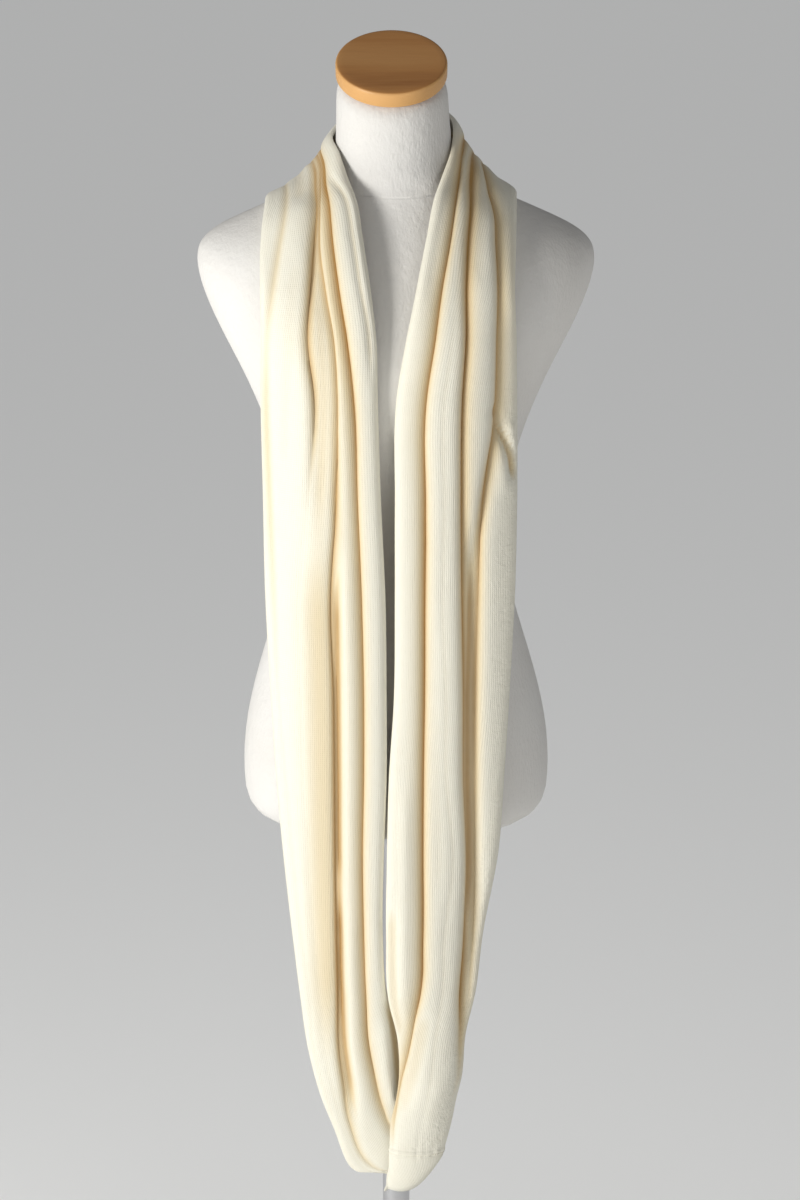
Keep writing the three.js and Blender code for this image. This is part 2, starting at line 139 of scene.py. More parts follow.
class Value:
    def __init__(self, shader, socket):
        self.shader = shader
        self.socket = socket

    def maths(self, operation, first, second=0.0):
        sockets = {0: first, 1: second}
        return self.shader.node("ShaderNodeMath", {"operation": operation}, sockets)

    def __add__(self, other):
        return self.maths("ADD", self, other)

    def __sub__(self, other):
        return self.maths("SUBTRACT", self, other)

    def __rsub__(self, other):
        return self.maths("SUBTRACT", other, self)

    def __mul__(self, other):
        return self.maths("MULTIPLY", self, other)

    def sine(self):
        return self.maths("SINE", self)

    def size(self):
        return self.maths("ABSOLUTE", self)

    def clamped(self):
        return self.maths("MINIMUM", self.maths("MAXIMUM", self, 0.0), 1.0)

    __radd__ = __add__
    __rmul__ = __mul__


class Shader:
    def __init__(self, name):
        self.material = bpy.data.materials.new(name)
        self.material.use_nodes = True
        self.tree = self.material.node_tree
        self.principled = self.tree.nodes["Principled BSDF"]

    def node(self, kind, settings, sockets, output=0):
        made = self.tree.nodes.new(kind)
        for name, setting in settings.items():
            if name == "stops":
                self.set_stops(made.color_ramp, setting)
            else:
                setattr(made, name, setting)
        for name, value in sockets.items():
            if isinstance(value, Value):
                self.tree.links.new(value.socket, made.inputs[name])
            else:
                made.inputs[name].default_value = value
        return Value(self, made.outputs[output])

    def set_stops(self, ramp, stops):
        while len(ramp.elements) < len(stops):
            ramp.elements.new(1)
        for element, (place, colour) in zip(ramp.elements, stops):
            element.position = place
            element.color = (*colour, 1)

    def coordinates(self, output, scale=(1, 1, 1)):
        place = self.node("ShaderNodeTexCoord", {}, {}, output)
        return self.node("ShaderNodeMapping", {}, {"Vector": place, "Scale": scale})

    def noise(self, vector, scale, detail=3.0, roughness=0.5, distortion=0.0):
        sockets = {
            "Vector": vector,
            "Scale": scale,
            "Detail": detail,
            "Roughness": roughness,
            "Distortion": distortion,
        }
        return self.node("ShaderNodeTexNoise", {}, sockets, "Fac")

    def colours(self, amount, *stops):
        return self.node("ShaderNodeValToRGB", {"stops": stops}, {"Fac": amount}, "Color")

    def mix(self, amount, first, second):
        settings = {"data_type": "RGBA"}
        rgba = [(*c, 1) if isinstance(c, tuple) else c for c in (first, second)]
        sockets = {MIX_AMOUNT: amount, MIX_FIRST: rgba[0], MIX_SECOND: rgba[1]}
        return self.node("ShaderNodeMix", settings, sockets, MIX_RESULT)

    def attribute(self, name):
        return self.node("ShaderNodeAttribute", {"attribute_name": name}, {}, "Fac")

    def feed(self, name, value):
        if isinstance(value, Value):
            self.tree.links.new(value.socket, self.principled.inputs[name])
        else:
            self.principled.inputs[name].default_value = value

    def bump(self, height, distance, strength=1.0):
        sockets = {"Height": height, "Distance": distance, "Strength": strength}
        self.feed("Normal", self.node("ShaderNodeBump", {}, sockets))


# %% [markdown]
# Jersey is a fine weft knit: its wales run the length of the scarf as hair-thin ribs, crossed by
# the courses. Here the ribs come from the sheet's own UV map, in metres of cloth, so they follow
# every fold. The cloth is thin and pale, so light that has passed through it and bounced in a
# fold comes back golden, and the fold lies in shade: a stored fold depth paints that golden bounce
# light and that shade into the colour there.

# %% Jersey
WALES_PER_METRE = 620
COURSES_PER_METRE = 480
# lit, shaded and deep-shade colours of the one cloth: the painted fold shade runs between them
JERSEY_LIT = (0.865, 0.835, 0.715)
JERSEY_SHADE = (0.76, 0.64, 0.42)
JERSEY_DEEP_SHADE = (0.47, 0.27, 0.085)
FOLD_SHADE_STOPS = ((0.08, JERSEY_LIT), (0.42, JERSEY_SHADE), (0.85, JERSEY_DEEP_SHADE))
WALE_HEIGHT = 0.10
COURSE_HEIGHT = 0.06
SLUB_HEIGHT = 0.55
CRINKLE_HEIGHT = 2.4
JERSEY_RELIEF = 0.0006


def jersey_material():
    shader = Shader("ivory_jersey")
    cloth = shader.coordinates("UV")
    across = shader.node("ShaderNodeSeparateXYZ", {}, {"Vector": cloth}, "X")
    along = Value(shader, across.socket.node.outputs["Y"])
    wales = (across * (2 * math.pi * WALES_PER_METRE)).sine()
    courses = (along * (2 * math.pi * COURSES_PER_METRE) + wales * 1.2).sine()
    slub = shader.noise(shader.coordinates("UV", (60, 9, 1)), 9.0, 4.0, 0.6)
    mottle = shader.noise(shader.coordinates("Object"), 38.0, 4.0, 0.6)
    # painted shade and golden bounce light in the folds, read from the stored fold depth
    depth = shader.attribute("fold_depth")
    soft = shader.colours(depth, *FOLD_SHADE_STOPS)
    tone = shader.mix((mottle - 0.5).size() * 0.25, soft, JERSEY_SHADE)
    shader.feed("Base Color", tone)
    shader.feed("Roughness", 0.86 + slub * 0.1)
    shader.feed("Sheen Weight", 0.18)
    shader.feed("Sheen Roughness", 0.5)
    shader.feed("Specular IOR Level", 0.25)
    crinkle = shader.noise(shader.coordinates("Object", (1, 1, 1.6)), 120.0, 3.0, 0.55, 0.4)
    worn = shader.attribute("crinkle")
    knit = wales * WALE_HEIGHT + courses * COURSE_HEIGHT + slub * SLUB_HEIGHT
    shader.bump(knit + crinkle * worn * CRINKLE_HEIGHT, JERSEY_RELIEF)
    return shader.material


# %% [markdown]
# The form's cover is matte and white, pulled tight and painted. Its faint lumps and brushed
# texture keep it from looking like plastic.

# %% Form cover
COVER_LIT = (0.80, 0.79, 0.765)
COVER_WARM = (0.745, 0.72, 0.68)
COVER_RELIEF = 0.0011


def cover_material():
    shader = Shader("white_cover")
    place = shader.coordinates("Object")
    broad = shader.noise(place, 14.0, 3.0, 0.5)
    lumps = shader.noise(place, 95.0, 4.0, 0.55)
    brushed = shader.noise(shader.coordinates("Object", (1, 1, 0.35)), 420.0, 2.0, 0.5)
    shader.feed("Base Color", shader.mix(broad, COVER_LIT, COVER_WARM))
    shader.feed("Roughness", 0.72 + lumps * 0.18)
    shader.feed("Specular IOR Level", 0.3)
    shader.bump(lumps * 0.8 + brushed * 0.35, COVER_RELIEF)
    return shader.material


# %% [markdown]
# The cap is turned from one plank, so its grain runs straight across the top, in line with X,
# and comes out at the rim. The noise is stretched along X: long thin streaks over a broad figure.
# The rim is painted paler: painted light, where the lamp falls on the cap's side.

# %% Cap wood
WOOD_PALE = (0.62, 0.31, 0.105)
WOOD_MID = (0.52, 0.23, 0.065)
WOOD_DARK = (0.36, 0.14, 0.035)
RIM_PAINTED_LIGHT = (0.70, 0.385, 0.135)
WOOD_RELIEF = 0.0002


def cap_material():
    shader = Shader("cap_wood")
    figure = shader.noise(shader.coordinates("Object", (3.0, 26, 26)), 1.0, 4.0, 0.55, 0.5)
    grain = shader.noise(shader.coordinates("Object", (18, 420, 420)), 1.0, 5.0, 0.6, 0.3)
    pores = shader.noise(shader.coordinates("Object", (60, 900, 900)), 1.0, 2.0, 0.5)
    rings = shader.colours(figure, (0.25, WOOD_DARK), (0.48, WOOD_MID), (0.72, WOOD_PALE))
    top = shader.mix((grain * 1.6 - 0.45).clamped() * 0.55, rings, WOOD_PALE)
    # painted light: the rim is paler, as if lit by the key lamp, with the real grain still streaking it
    rim = shader.attribute("rim")
    rim_grain_and_painted_light = shader.mix((grain * 1.5 - 0.4).clamped() * 0.4, RIM_PAINTED_LIGHT, WOOD_PALE)
    shader.feed("Base Color", shader.mix(rim, top, rim_grain_and_painted_light))
    shader.feed("Roughness", 0.42 + pores * 0.2)
    shader.feed("Coat Weight", 0.12)
    shader.feed("Coat Roughness", 0.35)
    shader.bump(grain * 0.5 + pores * 0.5, WOOD_RELIEF)
    return shader.material


# %% [markdown]
# The stand is satin steel. Fine turning marks run round the pole and the base, so the noise is
# read at very different scales across and along them.

# %% Steel
STEEL_COLOUR = (0.56, 0.56, 0.57)
STEEL_PALE = (0.62, 0.62, 0.63)
STEEL_RELIEF = 0.00008


def steel_material():
    shader = Shader("satin_steel")
    marks = shader.noise(shader.coordinates("Object", (1, 1, 60)), 14.0, 3.0, 0.6)
    smears = shader.noise(shader.coordinates("Object"), 9.0, 3.0, 0.6)
    shader.feed("Base Color", shader.mix(smears, STEEL_COLOUR, STEEL_PALE))
    shader.feed("Metallic", 1.0)
    shader.feed("Roughness", 0.27 + smears * 0.16)
    shader.bump(marks, STEEL_RELIEF)
    return shader.material


# %% [markdown]
# A floor makes the object stand somewhere. It is one large plain sheet, pale and matte, and it is
# marked as stage, because it isn't part of the object. A high, very soft sun is linked to the
# floor alone: it keeps the floor pale as far as the eye sees without flattening the folds.

# %% Floor
FLOOR_SPAN = 90
FLOOR_COLOUR = (0.80, 0.80, 0.79, 1)
SUN_STRENGTH = 1.25
SUN_SPREAD = math.radians(60)


def floor_sun(floor):
    data = bpy.data.lights.new("floor_sun", "SUN")
    data.energy = SUN_STRENGTH
    data.angle = SUN_SPREAD
    sun = bpy.data.objects.new("floor_sun", data)
    bpy.context.collection.objects.link(sun)
    lit = bpy.data.collections.new("lit_by_floor_sun")
    lit.objects.link(floor)
    sun.light_linking.receiver_collection = lit


bpy.ops.object.select_all(action="DESELECT")
bpy.ops.mesh.primitive_plane_add(size=FLOOR_SPAN)
floor = bpy.context.object
floor.name = "floor"
floor_shader = Shader("floor_pale")
floor_shader.feed("Base Color", FLOOR_COLOUR)
floor_shader.feed("Roughness", 0.9)
floor.data.materials.append(floor_shader.material)
floor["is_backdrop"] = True
floor_sun(floor)
print("the floor is", FLOOR_SPAN, "m wide")


# %% [markdown]
# Small helpers for work as by hand: select one piece alone, pick faces by where they are, put a
# finished object's place into its mesh, and hand a piece over to the frame with its material.

# %% Hand tools
def only(piece):
    bpy.ops.object.select_all(action="DESELECT")
    piece.select_set(True)
    bpy.context.view_layer.objects.active = piece


def settle(piece, name):
    only(piece)
    bpy.ops.object.transform_apply(location=True, rotation=True, scale=True)
    piece.name = name
    return piece


def pick_faces(piece, wanted):
    bpy.ops.mesh.select_mode(type="FACE")
    bpy.ops.mesh.select_all(action="DESELECT")
    mesh = bmesh.from_edit_mesh(piece.data)
    for face in mesh.faces:
        face.select_set(bool(wanted(face)))
    bmesh.update_edit_mesh(piece.data)


def apply_modifier(piece, kind, **settings):
    only(piece)
    modifier = piece.modifiers.new(kind.lower(), kind)
    for name, setting in settings.items():
        setattr(modifier, name, setting)
    bpy.ops.object.modifier_apply(modifier=modifier.name)


def keep_as(piece, material, slot, *nodes):
    piece.data.materials.clear()
    piece.data.materials.append(material)
    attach(piece, "root")
    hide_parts(*nodes)
    print(piece.name, "has", len(piece.data.polygons), "faces of", material.name)


# %% [markdown]
# The form's body is a moulded shell under a tight cover. The rigid model has its true rings, so a
# copy of that mesh is merged into quads and smoothed by subdivision. A real cover has a seam where
# neck and body meet: the copy is cut three times by slanted planes there, and the points of the
# middle cut are sunk, which makes a fine groove.

# %% Form body
NECK_SEAM_PLACE = Vector((0, 0, 1.3925))
NECK_SEAM_SLANT = math.radians(15)
SEAM_HALF_WIDTH = 0.0012
SEAM_DEPTH = 0.0007
MERGE_DISTANCE = 0.05 * MM
QUAD_LIMIT = math.radians(60)
ON_SEAM = 0.1 * MM


def form_body():
    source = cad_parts["form_torso"]
    only(source)
    bpy.ops.object.duplicate()
    body = bpy.context.object
    body.name = "form_body"
    bpy.ops.object.mode_set(mode="EDIT")
    bpy.ops.mesh.select_all(action="SELECT")
    bpy.ops.mesh.remove_doubles(threshold=MERGE_DISTANCE)
    bpy.ops.mesh.tris_convert_to_quads(face_threshold=QUAD_LIMIT, shape_threshold=QUAD_LIMIT)
    bpy.ops.object.mode_set(mode="OBJECT")
    apply_modifier(body, "SUBSURF", levels=2, render_levels=2)
    bpy.ops.object.mode_set(mode="EDIT")
    across_neck = Vector((0, math.sin(-NECK_SEAM_SLANT), math.cos(NECK_SEAM_SLANT)))
    for away in (-SEAM_HALF_WIDTH, 0, SEAM_HALF_WIDTH):
        bpy.ops.mesh.select_all(action="SELECT")
        cut_place = NECK_SEAM_PLACE + across_neck * away
        bpy.ops.mesh.bisect(plane_co=cut_place, plane_no=across_neck)
    bpy.ops.mesh.select_all(action="SELECT")
    bpy.ops.mesh.remove_doubles(threshold=SEAM_HALF_WIDTH / 5)
    bpy.ops.mesh.select_all(action="DESELECT")
    mesh = bmesh.from_edit_mesh(body.data)
    for vertex in mesh.verts:
        if abs((vertex.co - NECK_SEAM_PLACE).dot(across_neck)) < ON_SEAM:
            vertex.co -= vertex.normal * SEAM_DEPTH
    bmesh.update_edit_mesh(body.data)
    bpy.ops.object.mode_set(mode="OBJECT")
    bpy.ops.object.shade_smooth_by_angle(angle=math.radians(50))
    return body


keep_as(form_body(), cover_material(), "form_cover", "form_torso")


# %% [markdown]
# The cap is a disc with a softly broken edge. It is added as a cylinder at its real place and
# lean, its rims are bevelled, and each point remembers whether it lies on the rim, where the
# colour is painted paler as painted light on the cap's side.

# %% Neck cap
CAP_RADIUS = 52.5 * MM
CAP_THICKNESS = 16 * MM
CAP_TOP = Vector((-4, -20, 1500)) * MM
CAP_EDGE = 2.6 * MM
CAP_LEAN = math.radians(29.6)
CAP_FACE_INSETS = (0.1, 0.3)
RIM_REACH = CAP_EDGE * 0.35


def neck_cap():
    axis = Vector((0, -math.sin(CAP_LEAN), math.cos(CAP_LEAN)))
    middle = CAP_TOP - axis * CAP_THICKNESS / 2
    bpy.ops.object.select_all(action="DESELECT")
    bpy.ops.mesh.primitive_cylinder_add(
        vertices=96,
        radius=CAP_RADIUS,
        depth=CAP_THICKNESS,
        location=middle,
        rotation=(CAP_LEAN, 0, 0),
    )
    cap = settle(bpy.context.object, "neck_cap")
    apply_modifier(cap, "BEVEL", width=CAP_EDGE, segments=4, angle_limit=math.radians(40))
    bpy.ops.object.mode_set(mode="EDIT")
    pick_faces(cap, lambda face: abs(face.normal.dot(axis)) > 0.99)
    for share in CAP_FACE_INSETS:
        bpy.ops.mesh.inset(thickness=CAP_RADIUS * share, depth=0)
    bpy.ops.object.mode_set(mode="OBJECT")
    bpy.ops.object.shade_smooth_by_angle(angle=math.radians(35))
    rim = cap.data.attributes.new("rim", "FLOAT", "POINT")
    for vertex in cap.data.vertices:
        away = vertex.co - middle
        out = (away - axis * away.dot(axis)).length
        rim.data[vertex.index].value = float(out > CAP_RADIUS - RIM_REACH)
    return cap


keep_as(neck_cap(), cap_material(), "cap_wood", "form_neck_cap")

# %% [markdown]
# The pole and the base are turned pieces. The base starts as a cylinder whose top is inset, with
# a small step inside its edge. The pole starts as a circle, which is extruded ring by ring from
# the lower flange to the upper one and scaled where it swells.

# %% Stand
BASE_RADIUS = 190 * MM
BASE_THICKNESS = 14 * MM
BASE_EDGE = 3.5 * MM
BASE_INSETS = [(6 * MM, 0), (1.5 * MM, -0.8 * MM), (40 * MM, 0)]
POLE_RADIUS = 14 * MM
FLANGE_RADIUS = 34 * MM
REST_GAP = 0.3 * MM
POLE_TOP = 741.7 * MM
SWELL_HEIGHT = 26 * MM
SWELL_WAIST = 0.62
FLANGE_EDGE = 4 * MM
POLE_EDGE = 1.2 * MM


def stand_base():
    bpy.ops.object.select_all(action="DESELECT")
    bpy.ops.mesh.primitive_cylinder_add(
        vertices=128,
        radius=BASE_RADIUS,
        depth=BASE_THICKNESS,
        location=(0, 0, BASE_THICKNESS / 2),
    )
    base = settle(bpy.context.object, "round_base")
    apply_modifier(base, "BEVEL", width=BASE_EDGE, segments=4, angle_limit=math.radians(40))
    bpy.ops.object.mode_set(mode="EDIT")
    pick_faces(base, lambda face: face.normal.z > 0.99)
    for thickness, depth in BASE_INSETS:
        bpy.ops.mesh.inset(thickness=thickness, depth=depth)
    bpy.ops.object.mode_set(mode="OBJECT")
    bpy.ops.object.shade_smooth_by_angle(angle=math.radians(30))
    return base


def stand_pole():
    bpy.ops.object.select_all(action="DESELECT")
    foot = BASE_THICKNESS + REST_GAP
    bpy.ops.mesh.primitive_circle_add(
        vertices=64, radius=FLANGE_RADIUS, fill_type="NGON", location=(0, 0, foot)
    )
    pole = settle(bpy.context.object, "stand_pole_turned")
    neck = POLE_RADIUS / FLANGE_RADIUS
    rise = SWELL_HEIGHT - FLANGE_EDGE
    length = POLE_TOP - foot - 2 * SWELL_HEIGHT
    steps = [
        (FLANGE_EDGE, 1),
        (rise * 0.55, SWELL_WAIST),
        (rise * 0.45, neck / SWELL_WAIST),
        (length, 1),
        (rise * 0.45, SWELL_WAIST / neck),
        (rise * 0.55, 1 / SWELL_WAIST),
        (FLANGE_EDGE, 1),
    ]
    bpy.ops.object.mode_set(mode="EDIT")
    bpy.ops.mesh.select_all(action="SELECT")
    for climb, scale in steps:
        bpy.ops.mesh.extrude_region_move(TRANSFORM_OT_translate={"value": (0, 0, climb)})
        bpy.ops.transform.resize(value=(scale, scale, 1))
    bpy.ops.mesh.select_all(action="SELECT")
    bpy.ops.mesh.normals_make_consistent(inside=False)
    bpy.ops.object.mode_set(mode="OBJECT")
    apply_modifier(pole, "BEVEL", width=POLE_EDGE, segments=3, angle_limit=math.radians(30))
    bpy.ops.object.shade_smooth_by_angle(angle=math.radians(40))
    return pole


steel = steel_material()
keep_as(stand_base(), steel, "stand_metal", "stand_base")
keep_as(stand_pole(), steel, "stand_metal", "stand_pole")

# %% [markdown]
# Now the scarf. A draped band is best thought of as sections: at each section the cloth runs from
# its neck-side edge over a middle to its far edge, and four long folds cross it. These are the
# sections of the rigid model, in millimetres, from the joining seam up the right panel, round the
# nape, down the left panel and round the bottom, back to the seam. Each fold is a place across
# the band, from 0 to 1, and a depth.

# %% Sections
BAND_ROWS = [
    [(-5.5, -124, 431), (20, -129, 430), (47, -119, 429), (0.06, 1), (0.50, 1), (0.80, 1), (0.93, 1)],
    [(-4, -122, 463), (25, -128, 463), (55, -116, 463), (0.08, 6), (0.50, 1), (0.85, 1), (0.95, 1)],
    [(1, -119, 485), (29, -126, 485), (59, -112, 485), (0.09, 8), (0.50, 1), (0.88, 1), (0.96, 1)],
    [(4, -117, 507), (33, -124, 507), (64, -109, 507), (0.12, 8), (0.50, 1), (0.90, 2), (0.97, 1)],
    [(3, -116, 550), (34, -121, 550), (68, -105, 550), (0.27, 8), (0.55, 1), (0.90, 5), (0.97, 1)],
    [(-7, -116, 594), (35, -119, 594), (77.5, -102, 594), (0.40, 9), (0.60, 1), (0.81, 8), (0.92, 3)],
    [(-9, -116, 657), (36, -118, 657), (85, -97, 657), (0.42, 9), (0.60, 1), (0.80, 8), (0.91, 4)],
    [(-8, -116, 741), (42, -117, 741), (99, -93, 741), (0.37, 9), (0.60, 1), (0.73, 7), (0.82, 4)],
    [(-6, -115, 824), (47, -117, 824), (104, -91.5, 824), (0.33, 9), (0.50, 1), (0.65, 7), (0.77, 5)],
    [(-1, -115, 905), (52, -117, 905), (108, -90, 905), (0.29, 9), (0.45, 1), (0.60, 8), (0.73, 6)],
    [(0, -115, 1005), (55, -117, 1005), (112, -88, 1005), (0.27, 9), (0.40, 1), (0.55, 8), (0.71, 6)],
    [(0, -116, 1100), (56, -117, 1100), (113, -87, 1100), (0.27, 9), (0.40, 1), (0.53, 8), (0.72, 7)],
    [(2, -113.2, 1200), (56, -117, 1200), (112, -87, 1200), (0.28, 9), (0.40, 1), (0.54, 8), (0.80, 7)],
    [(11, -111, 1255), (60, -113, 1255), (111, -87.5, 1255), (0.30, 9), (0.42, 1), (0.54, 8), (0.80, 7)],
    [(20, -103, 1300), (63, -102, 1298), (110, -86, 1295), (0.31, 9), (0.42, 1), (0.52, 8), (0.81, 7)],
    [(29, -85, 1343), (66, -84, 1337), (111, -64.5, 1328), (0.34, 9), (0.41, 1), (0.51, 8), (0.78, 7)],
    [(36, -68, 1376), (72, -62, 1367), (112, -42, 1352), (0.31, 9), (0.38, 1), (0.47, 8), (0.72, 7)],
    [(44, -49, 1396), (79, -38, 1384), (113, -20, 1368), (0.24, 9), (0.31, 1), (0.38, 8), (0.58, 7)],
    [(52, -28, 1415), (84, -15, 1394), (114, 1, 1371.5), (0.16, 8), (0.23, 1), (0.30, 8), (0.46, 7)],
    [(55, -4, 1431), (85, 9, 1396), (115, 22, 1368), (0.14, 8), (0.21, 2), (0.28, 7), (0.42, 6)],
    [(53, 24, 1441), (83, 37, 1393), (114.5, 45.5, 1353.7), (0.18, 7), (0.27, 3), (0.36, 7), (0.52, 6)],
    [(42, 46, 1448), (73, 66, 1388), (106, 75, 1328), (0.22, 7), (0.33, 4), (0.45, 6), (0.63, 5)],
    [(23, 60, 1452), (45, 85, 1380), (74, 95, 1302), (0.24, 7), (0.36, 5), (0.51, 6), (0.72, 5)],
    [(0, 66, 1454), (0, 92, 1376), (0, 102, 1292), (0.23, 7), (0.37, 6), (0.54, 6), (0.78, 4)],
    [(-24, 60, 1451), (-47, 85, 1378), (-76, 95, 1300), (0.23, 7), (0.37, 6), (0.54, 6), (0.80, 4)],
    [(-44, 45, 1443), (-77, 65, 1384), (-111.5, 76.5, 1325), (0.22, 7), (0.35, 6), (0.50, 6), (0.79, 4)],
    [(-56, 22, 1433), (-88, 37, 1388), (-121, 46.5, 1350), (0.18, 8), (0.29, 6), (0.41, 6), (0.77, 4)],
    [(-60.5, -4, 1426), (-89, 9, 1391), (-123, 22, 1363), (0.14, 8), (0.23, 7), (0.33, 6), (0.74, 3)],
    [(-54, -28, 1416), (-87, -14, 1388), (-123.4, 0, 1368), (0.15, 9), (0.24, 7), (0.34, 7), (0.72, 3)],
    [(-46, -49, 1396), (-84, -38, 1380), (-123, -22, 1362), (0.20, 9), (0.30, 7), (0.39, 7), (0.72, 3)],
    [(-37, -66, 1376), (-79, -62, 1367), (-124, -44, 1348), (0.25, 9), (0.38, 7), (0.45, 7), (0.75, 3)],
    [(-31, -84, 1343), (-77, -84, 1337), (-125, -63, 1325), (0.26, 9), (0.41, 7), (0.51, 7), (0.80, 3)],
    [(-24, -103, 1300), (-74, -101, 1298), (-125, -83, 1295), (0.25, 9), (0.39, 7), (0.565, 7), (0.87, 3)],
    [(-19, -111, 1255), (-71, -113, 1255), (-124, -88, 1255), (0.22, 9), (0.35, 7), (0.61, 7), (0.92, 2)],
    [(-18, -113.2, 1200), (-71, -116, 1200), (-125, -83, 1200), (0.17, 9), (0.32, 7), (0.55, 6), (0.93, 3)],
    [(-15, -116, 1100), (-69, -117, 1100), (-124, -84, 1100), (0.17, 8), (0.38, 7), (0.60, 1), (0.92, 3)],
    [(-11, -115, 1005), (-67, -117, 1005), (-123, -86, 1005), (0.17, 8), (0.47, 7), (0.70, 1), (0.90, 2)],
    [(-10, -115, 905), (-64, -117, 905), (-119, -88, 905), (0.17, 8), (0.485, 7), (0.72, 1), (0.90, 1)],
    [(-10, -115, 824), (-62, -117, 824), (-115, -90, 824), (0.18, 8), (0.50, 7), (0.74, 1), (0.88, 1)],
    [(-13, -114, 741), (-59, -116, 741), (-109, -92, 741), (0.19, 8), (0.53, 7), (0.75, 1), (0.88, 1)],
    [(-14, -113, 657), (-55, -115, 657), (-101, -94, 657), (0.19, 8), (0.57, 7), (0.76, 1), (0.88, 1)],
    [(-10, -107, 596), (-50, -112, 594), (-94, -96, 590), (0.23, 7), (0.62, 7), (0.78, 1), (0.88, 1)],
    [(1, -101, 552), (-43, -110, 546), (-87, -97, 534), (0.31, 7), (0.68, 6), (0.81, 1), (0.92, 1)],
    [(6, -98, 518), (-35, -107, 504), (-76, -99, 485), (0.33, 6), (0.72, 5), (0.83, 1), (0.92, 1)],
    [(9, -98, 492), (-27, -105, 465), (-62, -101, 446), (0.32, 5), (0.77, 4), (0.86, 1), (0.94, 1)],
    [(15, -100, 472), (-15, -105, 430), (-45, -102, 403), (0.30, 3), (0.76, 3), (0.85, 1), (0.94, 1)],
    [(26, -103, 453), (-3, -106, 411), (-30, -105, 399), (0.27, 2), (0.70, 2), (0.82, 1), (0.92, 1)],
    [(36, -105, 440), (10, -109, 400), (-9, -110, 403), (0.22, 1), (0.58, 1), (0.76, 1), (0.88, 1)],
    [(41, -108, 429), (17, -113, 393), (-9, -114, 392), (0.15, 0), (0.50, 0), (0.76, 0), (0.88, 0)],
    [(44, -113, 422), (20, -121, 388), (-9, -120, 386), (0.10, 0), (0.50, 0), (0.80, 0), (0.90, 0)],
    [(45.5, -118, 424), (20, -128, 394), (-8, -125, 392), (0.07, 0), (0.20, 0), (0.50, 0), (0.90, 0)],
    [(47, -119, 429), (20, -129, 430), (-5.5, -124, 431), (0.07, 1), (0.20, 1), (0.50, 1), (0.94, 1)],
]
print("the band has", len(BAND_ROWS), "sections")

# %% [markdown]
# Between sections every number runs on a smooth curve through the rows. The curve's parameter is
# the length along the band's middle line, so that the sheet can be sampled in even steps.

# %% Smooth curve through the sections
NEAR, MIDDLE, FAR = slice(0, 3), slice(3, 6), slice(6, 9)
FIRST_FOLD = 9
FOLD_COUNT = 4

table = np.array([[n for group in row for n in group] for row in BAND_ROWS], float)
row_steps = np.linalg.norm(np.diff(table[:, MIDDLE], axis=0), axis=1)
row_lengths = np.concatenate([[0], np.cumsum(row_steps)])
BAND_LENGTH = row_lengths[-1]
slopes = np.gradient(table, row_lengths, axis=0)


def band_values(lengths):
    row = np.clip(np.searchsorted(row_lengths, lengths, side="right") - 1, 0, len(table) - 2)
    span = row_lengths[row + 1] - row_lengths[row]
    t = ((lengths - row_lengths[row]) / span)[:, None]
    span = span[:, None]
    values = (2 * t**3 - 3 * t**2 + 1) * table[row]
    values = values + (t**3 - 2 * t**2 + t) * span * slopes[row]
    values = values + (3 * t**2 - 2 * t**3) * table[row + 1]
    values = values + (t**3 - t**2) * span * slopes[row + 1]
    return values, row + t[:, 0]


def section_points(values, across):
    near = ((1 - across) * (1 - 2 * across))[..., None] * values[:, None, NEAR]
    middle = (4 * across * (1 - across))[..., None] * values[:, None, MIDDLE]
    far = (across * (2 * across - 1))[..., None] * values[:, None, FAR]
    return near + middle + far


print("the band is", round(BAND_LENGTH * MM, 2), "m round its middle line")

# %% [markdown]
# What makes cloth look like cloth is how a fold closes. Where one roll laps over the next, its
# flank is steep and leans out, while the cloth that dives under it sinks slowly. Each fold has a
# lap in millimetres: above zero the far side laps over, below zero the near side does. The laps
# change along the band, so each line below has a row of the table and the four folds' laps.

# %% Fold shapes
ROLL_HEIGHT = 9.0
EDGE_ROLL = 9.0
LAP_FULL = 5.0
LAP_REACH = 3.4
TINT_NARROWING = 1.15
EVEN_HALF_WIDTH = 4.8
SHARP_HALF_WIDTH = 3.3
SUNK_HALF_WIDTH = 9.0
LAP_ROWS = [
    (0, 0, 0, 0, 0),
    (0.8, 4.5, 0, 0, 0),
    (2, 7.0, 0, 0, 0),
    (4.5, 6.5, 0, -1.5, 0),
    (5.5, 3.6, 0, -3.2, 2.5),
    (10.6, 2.6, 0, -3.0, 2.8),
    (11.6, 4.4, 0, -2.6, -4.5),
    (14, 4.6, 0, -1.2, -4.5),
    (18, 4.0, 0, -1.2, -3.5),
    (20, -2.5, -2.0, -2.5, -2.5),
    (25, -3.5, -3.0, -3.5, -2.0),
    (27, -4.4, -4.4, 0, 0),
    (31, -4.6, -4.6, 3.0, 0),
    (34.3, -4.6, -4.4, 3.0, 0),
    (35.3, -4.6, 2.5, 1.5, 0),
    (36.5, -4.6, 4.0, 0, 0),
    (42, -4.4, 3.4, 0, 0),
    (44.5, -2.5, 1.2, 0, 0),
    (46, 0, 0, 0, 0),
    (51, 0, 0, 0, 0),
]


def fold_laps(row_places):
    rows, *laps = np.array(LAP_ROWS, float).T
    return np.stack([np.interp(row_places, rows, lap) for lap in laps], axis=1)


def half_widths(away, lap):
    share = np.clip(np.abs(lap) / LAP_FULL, 0, 1)
    over = np.sign(away) == np.sign(lap)
    sharp = EVEN_HALF_WIDTH + share * (SHARP_HALF_WIDTH - EVEN_HALF_WIDTH)
    sunk = EVEN_HALF_WIDTH + share * (SUNK_HALF_WIDTH - EVEN_HALF_WIDTH)
    return np.where(over, sharp, sunk)


# %% [markdown]
# The twist turns the band over at the bottom, so the rolls there stand on the other face: their
# height runs through zero at the lowest line. Over the shoulders and the nape the hanging panels
# pull the rolls flat.

